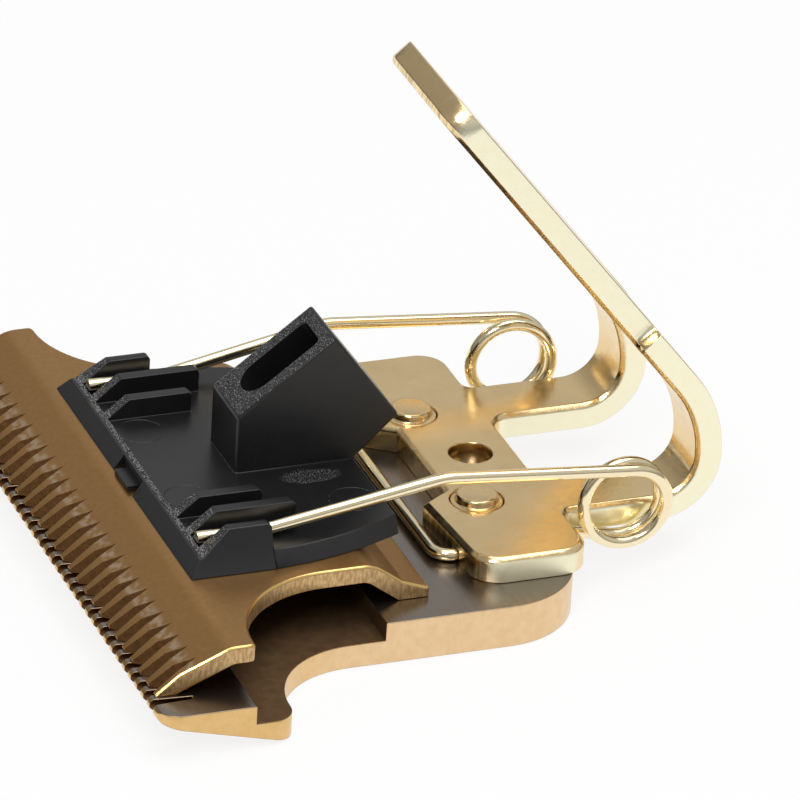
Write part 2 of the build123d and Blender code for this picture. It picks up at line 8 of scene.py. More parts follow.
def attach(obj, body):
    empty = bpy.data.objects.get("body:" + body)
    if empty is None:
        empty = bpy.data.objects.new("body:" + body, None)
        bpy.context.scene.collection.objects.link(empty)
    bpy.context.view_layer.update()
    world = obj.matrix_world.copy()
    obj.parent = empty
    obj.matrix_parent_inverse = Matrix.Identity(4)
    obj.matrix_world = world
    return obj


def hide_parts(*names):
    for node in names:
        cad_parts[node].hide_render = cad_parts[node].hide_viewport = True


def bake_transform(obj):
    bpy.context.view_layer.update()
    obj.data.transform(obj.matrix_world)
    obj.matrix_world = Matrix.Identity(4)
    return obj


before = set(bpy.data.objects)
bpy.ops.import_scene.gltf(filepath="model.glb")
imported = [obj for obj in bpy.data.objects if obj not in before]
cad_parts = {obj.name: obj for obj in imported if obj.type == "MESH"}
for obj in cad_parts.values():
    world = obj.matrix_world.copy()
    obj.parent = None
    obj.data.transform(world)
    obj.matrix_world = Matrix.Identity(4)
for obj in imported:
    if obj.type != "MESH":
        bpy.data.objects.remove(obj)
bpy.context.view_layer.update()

# Fixed blade: the thick T-shaped comb plate at the bottom, blanked from steel and coated a dull gold.
# The teeth are milled into its bevelled front edge, and the two lands that the cutter slides on are ground
# bright after the coating. The trough across it and the walls between the teeth are painted dark as shade.

MM = 0.001
MERGE_DISTANCE = 0.0005 * MM
FLAT_ANGLE = math.radians(0.05)
EDGE_ANGLE = math.radians(25)
EDGE_SEGMENTS = 2
BLADE_EDGE = 0.05 * MM
TROUGH_FRONT = -18.65 * MM
TROUGH_REAR = -9.55 * MM
LAND_BAND = (2.24 * MM, 2.27 * MM)
TROUGH_FRONT_BAND = (TROUGH_FRONT - 0.1 * MM, TROUGH_FRONT - 0.02 * MM)
TROUGH_REAR_BAND = (TROUGH_REAR + 0.1 * MM, TROUGH_REAR + 0.02 * MM)
TROUGH_FLOOR_BAND = (1.22 * MM, 1.27 * MM)
TOOTH_ROOT_BAND = (-21.2 * MM, -21.3 * MM)
TOOTH_ROW_BAND = (18.7 * MM, 18.6 * MM)
LEVEL_UP = (0.75, 0.92)
STEEP_UP = (0.5, 0.2)
GAP_SIDEWAYS = (0.5, 0.8)
TROUGH_SIDEWAYS = (0.6, 0.4)
COATING_DARK = (0.36, 0.23, 0.09, 1)
COATING_LIGHT = (0.50, 0.33, 0.14, 1)
BAR_WALL_DARK = (0.71, 0.45, 0.18, 1)
BAR_WALL_LIGHT = (0.81, 0.54, 0.24, 1)
STEM_WALL_DARK = (0.76, 0.525, 0.285, 1)
STEM_WALL_LIGHT = (0.88, 0.635, 0.375, 1)
GROUND_DARK = (0.20, 0.175, 0.155, 1)
GROUND_LIGHT = (0.36, 0.325, 0.295, 1)
# Painted shade: the trough floor's colours stand for the shadow under the cutter.
TROUGH_SHADE_DARK = (0.10, 0.062, 0.034, 1)
TROUGH_SHADE_LIGHT = (0.24, 0.145, 0.072, 1)
# Painted shade for the gaps between the teeth.
GAP_SHADE_BROWN = (0.13, 0.062, 0.026, 1)
MOTTLE_SIZE = 0.5 * MM
CUT_LINE_SIZE = 0.1 * MM
CUT_LINE_STRETCH = (1, 1, 4)
CUT_LINE_SHARE = 0.3
CUT_LINE_RELIEF = 0.4
GROUND_LINE_SIZE = 0.05 * MM
GROUND_LINE_STRETCH = (40, 1, 1)
WALL_TONE = (0.15, 0.85)
COATING_ROUGHNESS = 0.42
WALL_ROUGHNESS = 0.3
TROUGH_ROUGHNESS = 0.6
GROUND_ROUGHNESS = 0.26
COATING_RELIEF = 0.005 * MM


def finished_piece(shape, name):
    """A mesh object in the scene, made from a bmesh that is then freed."""
    mesh = bpy.data.meshes.new(name)
    shape.to_mesh(mesh)
    shape.free()
    piece = bpy.data.objects.new(name, mesh)
    bpy.context.scene.collection.objects.link(piece)
    return piece


def eased_copy(node, name, width, sharp_before=-math.inf):
    """A merged copy of a CAD node with whole flat faces, whose edges are rounded behind a place."""
    shape = bmesh.new()
    shape.from_mesh(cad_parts[node].data)
    bmesh.ops.remove_doubles(shape, verts=shape.verts, dist=MERGE_DISTANCE)
    bmesh.ops.dissolve_limit(shape, angle_limit=FLAT_ANGLE, verts=shape.verts, edges=shape.edges)
    bmesh.ops.recalc_face_normals(shape, faces=shape.faces)
    corners = [edge for edge in shape.edges if edge.calc_face_angle() > EDGE_ANGLE]
    eased = [edge for edge in corners if max(vert.co.y for vert in edge.verts) > sharp_before]
    for edge in shape.edges:
        edge.smooth = True
    for edge in set(corners).difference(eased):
        edge.smooth = False
    bmesh.ops.bevel(
        shape, geom=eased, offset=width, offset_type="OFFSET", segments=EDGE_SEGMENTS, profile=0.5,
        affect="EDGES", material=-1,
    )
    for face in shape.faces:
        face.smooth = True
    piece = finished_piece(shape, name)
    weighting = piece.modifiers.new("flat faces stay flat", "WEIGHTED_NORMAL")
    weighting.keep_sharp = True
    return piece


def begin_finish(name, metallic):
    """A new material, with its node tree, its shader and its Object coordinates."""
    finish = bpy.data.materials.new(name)
    finish.use_nodes = True
    tree = finish.node_tree
    shader = tree.nodes["Principled BSDF"]
    shader.inputs["Metallic"].default_value = metallic
    place = tree.nodes.new("ShaderNodeTexCoord").outputs["Object"]
    return finish, tree, shader, place


def parts_of(tree, vector):
    """The x, y and z of a vector."""
    split = tree.nodes.new("ShaderNodeSeparateXYZ")
    tree.links.new(vector, split.inputs[0])
    return split.outputs


def facing(tree):
    """The x, y and z of the surface's own direction."""
    return parts_of(tree, tree.nodes.new("ShaderNodeNewGeometry").outputs["Normal"])


def arithmetic(tree, operation, first, second=0.0):
    """One Math node on two values, each a socket or a number."""
    node = tree.nodes.new("ShaderNodeMath")
    node.operation = operation
    for socket, value in zip(node.inputs, (first, second)):
        if isinstance(value, (int, float)):
            socket.default_value = value
        else:
            tree.links.new(value, socket)
    return node.outputs[0]


def size_of(tree, value):
    """A value without its sign."""
    return arithmetic(tree, "ABSOLUTE", value)


def all_of(tree, *masks):
    """The product of several masks."""
    product = masks[0]
    for mask in masks[1:]:
        product = arithmetic(tree, "MULTIPLY", product, mask)
    return product


def ramp(tree, value, start, end, low=0.0, high=1.0):
    """Goes smoothly from low to high as the value goes from start to end."""
    node = tree.nodes.new("ShaderNodeMapRange")
    node.interpolation_type = "SMOOTHSTEP"
    tree.links.new(value, node.inputs["Value"])
    for name, number in (("From Min", start), ("From Max", end), ("To Min", low), ("To Max", high)):
        node.inputs[name].default_value = number
    return node.outputs["Result"]


def grain(tree, place, size, stretch=(1, 1, 1), detail=2.0):
    """Noise whose spots are about one size across, drawn out along the axes where stretch is large."""
    mapping = tree.nodes.new("ShaderNodeMapping")
    mapping.inputs["Scale"].default_value = [1 / (size * amount) for amount in stretch]
    tree.links.new(place, mapping.inputs["Vector"])
    noise = tree.nodes.new("ShaderNodeTexNoise")
    noise.inputs["Scale"].default_value = 1.0
    noise.inputs["Detail"].default_value = detail
    tree.links.new(mapping.outputs[0], noise.inputs["Vector"])
    return noise.outputs["Fac"]


def mixed(tree, factor, first, second):
    """A colour between two others, each a socket or four numbers."""
    node = tree.nodes.new("ShaderNodeMix")
    node.data_type = "RGBA"
    tree.links.new(factor, node.inputs[0])
    for socket, colour in ((node.inputs[6], first), (node.inputs[7], second)):
        if isinstance(colour, tuple):
            socket.default_value = colour
        else:
            tree.links.new(colour, socket)
    return node.outputs[2]


def between(tree, factor, first, second):
    """A number between two others, each a socket or a number."""
    node = tree.nodes.new("ShaderNodeMix")
    tree.links.new(factor, node.inputs[0])
    for socket, value in ((node.inputs[2], first), (node.inputs[3], second)):
        if isinstance(value, (int, float)):
            socket.default_value = value
        else:
            tree.links.new(value, socket)
    return node.outputs[0]


def relief(tree, shader, height, depth):
    """Gives the shader a fine relief of that depth in metres."""
    node = tree.nodes.new("ShaderNodeBump")
    node.inputs["Distance"].default_value = depth
    tree.links.new(height, node.inputs["Height"])
    tree.links.new(node.outputs[0], shader.inputs["Normal"])


coated_finish, tree, shader, place = begin_finish("coated_steel_finish", 1.0)
x, y, z = parts_of(tree, place)
side, _, up = facing(tree)
ground = all_of(tree, ramp(tree, up, *LEVEL_UP), ramp(tree, z, *LAND_BAND))
wall = ramp(tree, size_of(tree, up), *STEEP_UP)
in_trough = all_of(
    tree,
    ramp(tree, y, *TROUGH_FRONT_BAND),
    ramp(tree, y, *TROUGH_REAR_BAND),
    ramp(tree, z, *TROUGH_FLOOR_BAND),
    ramp(tree, size_of(tree, side), *TROUGH_SIDEWAYS),
)
# Painted shade: the side walls of the gaps between the teeth are coloured dark brown for the shade between
# them.
gap = all_of(
    tree,
    ramp(tree, size_of(tree, side), *GAP_SIDEWAYS),
    ramp(tree, y, *TOOTH_ROOT_BAND),
    ramp(tree, size_of(tree, x), *TOOTH_ROW_BAND),
)
mottle = grain(tree, place, MOTTLE_SIZE, detail=4)
cut_lines = grain(tree, place, CUT_LINE_SIZE, CUT_LINE_STRETCH, detail=4)
ground_lines = grain(tree, place, GROUND_LINE_SIZE, GROUND_LINE_STRETCH)
coating = mixed(tree, mottle, COATING_DARK, COATING_LIGHT)
line_share = arithmetic(tree, "MULTIPLY", wall, CUT_LINE_SHARE)
wall_tone = ramp(tree, between(tree, line_share, mottle, cut_lines), *WALL_TONE)
cut_wall = mixed(
    tree,
    ramp(tree, y, TROUGH_FRONT, TROUGH_REAR),
    mixed(tree, wall_tone, BAR_WALL_DARK, BAR_WALL_LIGHT),
    mixed(tree, wall_tone, STEM_WALL_DARK, STEM_WALL_LIGHT),
)
ground_steel = mixed(tree, ground_lines, GROUND_DARK, GROUND_LIGHT)
# Painted shade: the trough floor is coloured dark brown for the shadow under the cutter; its higher
# roughness is its own finish.
trough = mixed(tree, mottle, TROUGH_SHADE_DARK, TROUGH_SHADE_LIGHT)
colour = mixed(tree, ground, mixed(tree, wall, coating, cut_wall), ground_steel)
colour = mixed(tree, in_trough, colour, trough)
tree.links.new(mixed(tree, gap, colour, GAP_SHADE_BROWN), shader.inputs["Base Color"])
roughness = between(tree, wall, COATING_ROUGHNESS, WALL_ROUGHNESS)
roughness = between(tree, in_trough, roughness, TROUGH_ROUGHNESS)
tree.links.new(between(tree, ground, roughness, GROUND_ROUGHNESS), shader.inputs["Roughness"])
wall_lines = arithmetic(tree, "MULTIPLY", cut_lines, CUT_LINE_RELIEF)
height = between(tree, ground, between(tree, wall, mottle, wall_lines), ground_lines)
relief(tree, shader, height, COATING_RELIEF)
comb_blade = eased_copy("fixed_blade", "coated_fixed_blade", BLADE_EDGE)
comb_blade.data.materials.append(coated_finish)
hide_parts("fixed_blade")
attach(comb_blade, "comb")

# Moving blade: the cutter, pressed from thin gold-coated steel sheet into a low bridge with a foot behind.
# Its coarser teeth lie flat on the fixed blade and are ground to grooves between them, its upper rim is
# rolled by the punch, and the cut wall under the rim is torn. The groove walls are painted dark as shade,
# the rolled rim is painted a lighter gold as a highlight, and the crests just behind the tooth tips carry
# painted highlight spots.

CUTTER_EDGE = 0.035 * MM
CUTTER_SHARP_TIPS = -22.05 * MM
CUTTER_GROOVE_BAND = (-20.6 * MM, -20.75 * MM)
CUTTER_ROW_BAND = (17.65 * MM, 17.55 * MM)
CREST_GLINT_REAR_BAND = (-21.05 * MM, -21.4 * MM)
CREST_GLINT_FRONT_BAND = (-22.0 * MM, -21.75 * MM)
CREST_GLINT_UP = (0.8, 0.9)
GROOVE_SIDEWAYS = (0.25, 0.45)
TORN_UP = (0.45, 0.2)
RIM_UPPER = (0.95, 0.85)
RIM_LOWER = (0.4, 0.55)
RIM_SIDEWAYS = (0.3, 0.5)
SATIN_DARK = (0.385, 0.205, 0.072, 1)
SATIN_LIGHT = (0.50, 0.280, 0.104, 1)
RIM_HIGHLIGHT_GOLD = (0.80, 0.54, 0.20, 1)
TORN_DARK = (0.46, 0.29, 0.13, 1)
TORN_LIGHT = (0.76, 0.52, 0.26, 1)
GROOVE_SHADE_DARK = (0.075, 0.033, 0.012, 1)
GROOVE_SHADE_LIGHT = (0.165, 0.079, 0.029, 1)
CREST_HIGHLIGHT = (0.62, 0.44, 0.29, 1)
CREST_GLINT_SPOT_SIZE = 0.4 * MM
CREST_GLINT_SPOTS = (0.38, 0.62)
SATIN_MOTTLE_SIZE = 0.3 * MM
TORN_LINE_SIZE = 0.14 * MM
TORN_LINE_STRETCH = (1, 1, 3)
TORN_LINES = (0.3, 0.7)
SATIN_ROUGHNESS = 0.34
RIM_ROUGHNESS = 0.2
TORN_ROUGHNESS = 0.42
CUTTER_RELIEF = 0.006 * MM

cutter_finish, tree, shader, place = begin_finish("cutter_steel_finish", 1.0)
x, y, _ = parts_of(tree, place)
side, _, up = facing(tree)
# Painted shade: the side walls of the grooves between the teeth are coloured dark brown for the shade in
# them.
groove = all_of(
    tree,
    ramp(tree, y, *CUTTER_GROOVE_BAND),
    ramp(tree, size_of(tree, x), *CUTTER_ROW_BAND),
    ramp(tree, size_of(tree, side), *GROOVE_SIDEWAYS),
)
wall = ramp(tree, size_of(tree, up), *TORN_UP)
# Painted highlight: the rolled rim's faces are coloured a lighter gold for the light they catch; their
# lower roughness is their own polish.
rim = all_of(
    tree,
    ramp(tree, up, *RIM_UPPER),
    ramp(tree, up, *RIM_LOWER),
    ramp(tree, size_of(tree, side), *RIM_SIDEWAYS),
)
# Painted highlight: light spots on the tooth crests just behind the tips, standing for the light the bent
# crests catch.
crest_glint = all_of(
    tree,
    ramp(tree, y, *CREST_GLINT_REAR_BAND),
    ramp(tree, y, *CREST_GLINT_FRONT_BAND),
    ramp(tree, up, *CREST_GLINT_UP),
    ramp(tree, grain(tree, place, CREST_GLINT_SPOT_SIZE), *CREST_GLINT_SPOTS),
)
mottle = grain(tree, place, SATIN_MOTTLE_SIZE, detail=4)
torn_lines = grain(tree, place, TORN_LINE_SIZE, TORN_LINE_STRETCH, detail=4)
satin = mixed(tree, mottle, SATIN_DARK, SATIN_LIGHT)
torn = mixed(tree, ramp(tree, torn_lines, *TORN_LINES), TORN_DARK, TORN_LIGHT)
groove_shade = mixed(tree, mottle, GROOVE_SHADE_DARK, GROOVE_SHADE_LIGHT)
colour = mixed(tree, rim, mixed(tree, crest_glint, satin, CREST_HIGHLIGHT), RIM_HIGHLIGHT_GOLD)
colour = mixed(tree, wall, colour, torn)
tree.links.new(mixed(tree, groove, colour, groove_shade), shader.inputs["Base Color"])
roughness = between(tree, wall, between(tree, rim, SATIN_ROUGHNESS, RIM_ROUGHNESS), TORN_ROUGHNESS)
tree.links.new(roughness, shader.inputs["Roughness"])
relief(tree, shader, between(tree, wall, mottle, torn_lines), CUTTER_RELIEF)
cutter_blade = eased_copy("moving_blade", "formed_moving_blade", CUTTER_EDGE, CUTTER_SHARP_TIPS)
cutter_blade.data.materials.append(cutter_finish)
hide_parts("moving_blade")
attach(cutter_blade, "cutter")

# Drive saddle: one black plastic moulding, staked by two pegs through the cutter.
# Its sloping faces have a coarse spark-eroded grain, its flat ones are smooth from the mould, and the
# floor shows the faint rings of four ejector pins. The grain's peaks on the sloping faces and on a rough
# patch of the floor are painted light grey as glints.

SADDLE_EDGE = 0.06 * MM
SADDLE_LIP = -17.95 * MM
SADDLE_FLOOR = 5.32 * MM
LIP_BAND = (-17.85 * MM, -17.95 * MM)
SLOPE_FRONT = (-0.4, -0.5)
SLOPE_UP = (0.66, 0.72)
FLOOR_UP = (0.9, 0.97)
PLASTIC_DARK = (0.006, 0.006, 0.0066, 1)
PLASTIC_LIGHT = (0.011, 0.011, 0.012, 1)
PLASTIC_GLINT = (0.22, 0.22, 0.225, 1)
ROUGH_PATCH = (3.1 * MM, -10.0 * MM)
ROUGH_PATCH_SIZE = (0.9 * MM, 1.9 * MM)
ROUGH_PATCH_RIM = (1.4, 0.9)
ROUGH_PATCH_WAVE = 0.9 * MM
ERODED_SIZE = 0.075 * MM
HAZE_SIZE = 0.8 * MM
SLOPE_GLINT_START = 0.56
LIP_GLINT_START = 0.46
GLINT_SPREAD = 0.12
PLASTIC_ROUGHNESS = 0.34
ERODED_ROUGHNESS = 0.3
SMOOTH_SHARE = 0.05
ERODED_RELIEF = 0.09 * MM

plastic_finish, tree, shader, place = begin_finish("black_plastic_finish", 0.0)
x, y, _ = parts_of(tree, place)
_, front, up = facing(tree)
sloping = all_of(tree, ramp(tree, front, *SLOPE_FRONT), ramp(tree, up, *SLOPE_UP))
reach = grain(tree, place, ROUGH_PATCH_WAVE, detail=3)
for along, middle, half in zip((size_of(tree, x), y), ROUGH_PATCH, ROUGH_PATCH_SIZE):
    off = arithmetic(tree, "DIVIDE", arithmetic(tree, "SUBTRACT", along, middle), half)
    reach = arithmetic(tree, "ADD", reach, arithmetic(tree, "MULTIPLY", off, off))
patch = all_of(tree, ramp(tree, reach, *ROUGH_PATCH_RIM), ramp(tree, up, *FLOOR_UP))
eroded_share = arithmetic(tree, "MAXIMUM", sloping, patch)
eroded = grain(tree, place, ERODED_SIZE, detail=1)
haze = grain(tree, place, HAZE_SIZE, detail=3)
# Painted highlight: the grain's peaks are coloured light grey as glints, with more of them on the front
# lip.
lip = all_of(tree, sloping, ramp(tree, y, *LIP_BAND))
glint_start = between(tree, lip, SLOPE_GLINT_START, LIP_GLINT_START)
glint = arithmetic(tree, "DIVIDE", arithmetic(tree, "SUBTRACT", eroded, glint_start), GLINT_SPREAD)
glint = all_of(tree, eroded_share, ramp(tree, glint, 0.0, 1.0))
colour = mixed(tree, haze, PLASTIC_DARK, PLASTIC_LIGHT)
tree.links.new(mixed(tree, glint, colour, PLASTIC_GLINT), shader.inputs["Base Color"])
roughness = between(tree, eroded_share, PLASTIC_ROUGHNESS, ERODED_ROUGHNESS)
tree.links.new(roughness, shader.inputs["Roughness"])
depth_share = ramp(tree, eroded_share, 0.0, 1.0, SMOOTH_SHARE, 1.0)
relief(tree, shader, arithmetic(tree, "MULTIPLY", eroded, depth_share), ERODED_RELIEF)
saddle = eased_copy("drive_saddle", "moulded_drive_saddle", SADDLE_EDGE, SADDLE_LIP)
saddle.data.materials.append(plastic_finish)
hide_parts("drive_saddle")
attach(saddle, "cutter")

PIN_PROFILE = ((1.2, 0), (1.27, 0), (1.249, 0.02), (1.221, 0.02))
PIN_SEGMENTS = 48
PIN_PLACES = ((3.7 * MM, -16.8 * MM), (6.05 * MM, -8.74 * MM))

marks_shape = bmesh.new()
for pin_x, pin_y in PIN_PLACES:
    spot = Vector((pin_x, pin_y, SADDLE_FLOOR))
    verts = [marks_shape.verts.new(spot + Vector((r, 0, h)) * MM) for r, h in PIN_PROFILE]
    edges = [marks_shape.edges.new(pair) for pair in zip(verts, (*verts[1:], verts[0]))]
    bmesh.ops.spin(
        marks_shape, geom=[*verts, *edges], cent=spot, axis=(0, 0, 1), angle=math.radians(360),
        steps=PIN_SEGMENTS, use_merge=True, use_duplicate=False,
    )
whole = [*marks_shape.verts, *marks_shape.edges, *marks_shape.faces]
copied = bmesh.ops.duplicate(marks_shape, geom=whole)["geom"]
mirrored = [part for part in copied if isinstance(part, bmesh.types.BMVert)]
bmesh.ops.scale(marks_shape, vec=(-1, 1, 1), verts=mirrored)
bmesh.ops.recalc_face_normals(marks_shape, faces=marks_shape.faces)
marks = finished_piece(marks_shape, "ejector_marks")
marks.data.materials.append(plastic_finish)
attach(marks, "cutter")

# Hook bracket: bent from gold-plated steel sheet, with rolled-over upper rims from the punch.
# Its plate is riveted on the rear land, and its two arms curl up into the leaning tongue. The sheared
# edges are paler than the skins, and those of the plate are the roughest.

BRACKET_EDGE = 0.07 * MM
HOLE_BAND = (1.4 * MM, 1.6 * MM)
PLATE_SIDE_BAND = (10.0 * MM, 10.3 * MM)
EAR_BAND = (-2.4 * MM, -2.5 * MM)
EAR_FRONT = (-0.7, -0.85)
SHEARED_SIDEWAYS = (0.75, 0.92)
SKIN_DARK = (0.79, 0.57, 0.285, 1)
SKIN_LIGHT = (0.97, 0.755, 0.42, 1)
SHEARED_DARK = (0.99, 0.91, 0.63, 1)
SHEARED_LIGHT = (1.0, 0.97, 0.76, 1)
EAR_DARK = (0.58, 0.42, 0.21, 1)
EAR_LIGHT = (1.0, 0.79, 0.45, 1)
PEEL_SIZE = 0.5 * MM
PEEL_SPREAD = (0.3, 0.7)
PEBBLE_SIZE = 0.13 * MM
PEBBLE_SHARE = 0.8
CLOUD_SIZE = 3.0 * MM
STREAK_SIZE = 0.16 * MM
STREAK_STRETCH = (1, 1, 8)
STREAKS = (0.35, 0.65)
SKIN_ROUGHNESS = (0.14, 0.24)
SHEARED_ROUGHNESS = 0.3
PLATE_EDGE_ROUGHNESS = 0.5
SKIN_RELIEF = 0.008 * MM

plated_finish, tree, shader, place = begin_finish("plated_sheet_finish", 1.0)
x, y, _ = parts_of(tree, place)
side, front, _ = facing(tree)
beside_hole = ramp(tree, size_of(tree, x), *HOLE_BAND)
sheared = all_of(tree, beside_hole, ramp(tree, size_of(tree, side), *SHEARED_SIDEWAYS))
plate_edge = all_of(tree, sheared, ramp(tree, size_of(tree, x), *PLATE_SIDE_BAND))
ear = all_of(tree, ramp(tree, front, *EAR_FRONT), ramp(tree, y, *EAR_BAND))
peel = grain(tree, place, PEEL_SIZE)
cloud = grain(tree, place, CLOUD_SIZE, detail=3)
streaks = grain(tree, place, STREAK_SIZE, STREAK_STRETCH, detail=3)
colour = mixed(tree, cloud, SKIN_DARK, SKIN_LIGHT)
colour = mixed(tree, sheared, colour, mixed(tree, peel, SHEARED_DARK, SHEARED_LIGHT))
colour = mixed(tree, ear, colour, mixed(tree, ramp(tree, streaks, *STREAKS), EAR_DARK, EAR_LIGHT))
tree.links.new(colour, shader.inputs["Base Color"])
roughness = between(tree, sheared, ramp(tree, peel, *PEEL_SPREAD, *SKIN_ROUGHNESS), SHEARED_ROUGHNESS)
tree.links.new(between(tree, plate_edge, roughness, PLATE_EDGE_ROUGHNESS), shader.inputs["Roughness"])
pebbles = arithmetic(tree, "MULTIPLY", grain(tree, place, PEBBLE_SIZE, detail=3), PEBBLE_SHARE)
relief(tree, shader, arithmetic(tree, "ADD", peel, pebbles), SKIN_RELIEF)
bracket = eased_copy("hook_bracket", "bent_hook_bracket", BRACKET_EDGE)
bracket.data.materials.append(plated_finish)
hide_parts("hook_bracket")
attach(bracket, "comb")

# Rivets: two flat-headed rivets, each set in a shallow pocket of the bracket's plate on a low collar.
# They are plated like the bracket, and their tails are closed flush under the fixed blade.

RIVET_X = 4.9 * MM
RIVET_Y = -1.5 * MM
RIVET_SEGMENTS = 64
RIVET_PROFILE = (
    (0, 0),
    (1.3, 0),
    (0.8, 0.5),
    (0.8, 3.31),
    (1.37, 3.31),
    (1.37, 3.58),
    (1.34, 3.65),
    (1.27, 3.68),
    (1.17, 3.69),
    (1.13, 3.71),
    (1.1, 3.75),
    (1.1, 3.94),
    (1.08, 4.02),
    (1.02, 4.08),
    (0.94, 4.1),
    (0.86, 4.085),
    (0, 4.08),
)
RIVET_SHARP_ANGLE = math.radians(40)
RIVET_PEEL_SIZE = 0.4 * MM
RIVET_ROUGHNESS = (0.14, 0.28)
RIVET_RELIEF = 0.005 * MM

rivet_finish, tree, shader, place = begin_finish("rivet_metal_finish", 1.0)
peel = grain(tree, place, RIVET_PEEL_SIZE)
tree.links.new(mixed(tree, peel, SKIN_DARK, SKIN_LIGHT), shader.inputs["Base Color"])
tree.links.new(ramp(tree, peel, *PEEL_SPREAD, *RIVET_ROUGHNESS), shader.inputs["Roughness"])
relief(tree, shader, peel, RIVET_RELIEF)
for node, sign in (("rivet_left", -1), ("rivet_right", 1)):
    rivet_shape = bmesh.new()
    verts = [rivet_shape.verts.new((r * MM, 0, h * MM)) for r, h in RIVET_PROFILE]
    edges = [rivet_shape.edges.new(pair) for pair in zip(verts[:-1], verts[1:])]
    bmesh.ops.spin(
        rivet_shape, geom=[*verts, *edges], cent=(0, 0, 0), axis=(0, 0, 1), angle=math.radians(360),
        steps=RIVET_SEGMENTS, use_merge=True, use_duplicate=False,
    )
    bmesh.ops.remove_doubles(rivet_shape, verts=rivet_shape.verts, dist=MERGE_DISTANCE)
    bmesh.ops.recalc_face_normals(rivet_shape, faces=rivet_shape.faces)
    bmesh.ops.translate(rivet_shape, verts=rivet_shape.verts, vec=(sign * RIVET_X, RIVET_Y, 0))
    for face in rivet_shape.faces:
        face.smooth = True
    for edge in rivet_shape.edges:
        edge.smooth = edge.calc_face_angle() < RIVET_SHARP_ANGLE
    rivet = finished_piece(rivet_shape, "set_" + node)
    rivet.data.materials.append(rivet_finish)
    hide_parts(node)
    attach(rivet, "comb")

# Torsion spring: one length of plated round wire, with a coil on each side and a bar across the front
# of the bracket. Its two arms press the saddle down; the real arms bend sideways as the cutter slides, but
# this wire is one still mesh.

WIRE_RADIUS = 0.33 * MM
WIRE_SIDES = 20
WIRE_STEP = 0.5 * MM
WIRE_TURN_STEP = math.radians(7)
COIL_RADIUS = 2.18 * MM
COIL_CENTRE_Y = 5.25 * MM
COIL_CENTRE_Z = 4.3 * MM
COIL_OUTER_X = 8.85 * MM
COIL_INNER_X = 7.5 * MM
COIL_ENTRY = math.radians(5.25)
COIL_SWEEP = math.radians(540)
COIL_EXIT = math.radians(552.5)
ARM_TIP = Vector((8.55, -18.05, 5.69)) * MM
ARM_KNEE = Vector((8.55, -14.2, 5.69)) * MM
ARM_BEND = Vector((8.85, -4.9, 7.422)) * MM
ARM_BEND_RADIUS = 3.0 * MM
LEG_LEVEL = Vector((7.5, 2.53, 2.67)) * MM
LEG_CORNER = Vector((8.5, -4.9, 2.67)) * MM
BAR_MIDDLE = Vector((0, -4.9, 2.67)) * MM
LEG_BEND_RADIUS = 0.9 * MM
WIRE_DARK = (0.92, 0.76, 0.47, 1)
WIRE_LIGHT = (1.0, 0.90, 0.65, 1)
WIRE_SHARP_ANGLE = math.radians(60)
DRAWN_SIZE = 0.15 * MM
DRAWN_SPREAD = (0.3, 0.7)
WIRE_ROUGHNESS = (0.1, 0.2)


def coil_point(angle):
    """The wire's centre in the coil at an angle behind the coil's top."""
    share = min((angle - COIL_ENTRY) / COIL_SWEEP, 1.0)
    across = COIL_OUTER_X + (COIL_INNER_X - COIL_OUTER_X) * share
    rear = COIL_CENTRE_Y + COIL_RADIUS * math.sin(angle)
    return Vector((across, rear, COIL_CENTRE_Z + COIL_RADIUS * math.cos(angle)))


def bent_run(points, radius):
    """Places along a wire that runs straight between points and bends round each inner one."""
    run = [points[0]]
    for before, corner, after in zip(points[:-2], points[1:-1], points[2:]):
        back = (before - corner).normalized()
        ahead = (after - corner).normalized()
        turn = math.pi - back.angle(ahead)
        reach = radius * math.tan(turn / 2)
        centre = corner + (back + ahead).normalized() * (radius / math.cos(turn / 2))
        spoke = corner + back * reach - centre
        pivot = back.cross(ahead).normalized()
        steps = max(2, math.ceil(turn / WIRE_TURN_STEP))
        run += divided(run[-1], corner + back * reach)
        run += [centre + Matrix.Rotation(-turn * i / steps, 3, pivot) @ spoke for i in range(1, steps + 1)]
    return run + divided(run[-1], points[-1])


def divided(start, end):
    """Even places from start to end, without the start."""
    count = max(1, round((end - start).length / WIRE_STEP))
    return [start.lerp(end, i / count) for i in range(1, count + 1)]


coil_steps = math.ceil((COIL_EXIT - COIL_ENTRY) / WIRE_TURN_STEP)
coil = [coil_point(COIL_ENTRY + (COIL_EXIT - COIL_ENTRY) * i / coil_steps) for i in range(coil_steps + 1)]
arm_run = bent_run([ARM_TIP, ARM_KNEE, ARM_BEND, coil[0]], ARM_BEND_RADIUS)
leg_run = bent_run([coil[-1], LEG_LEVEL, LEG_CORNER, BAR_MIDDLE], LEG_BEND_RADIUS)
half_route = [*arm_run, *coil[1:], *leg_run[1:]]
route = half_route + [Vector((-spot.x, spot.y, spot.z)) for spot in reversed(half_route[:-1])]

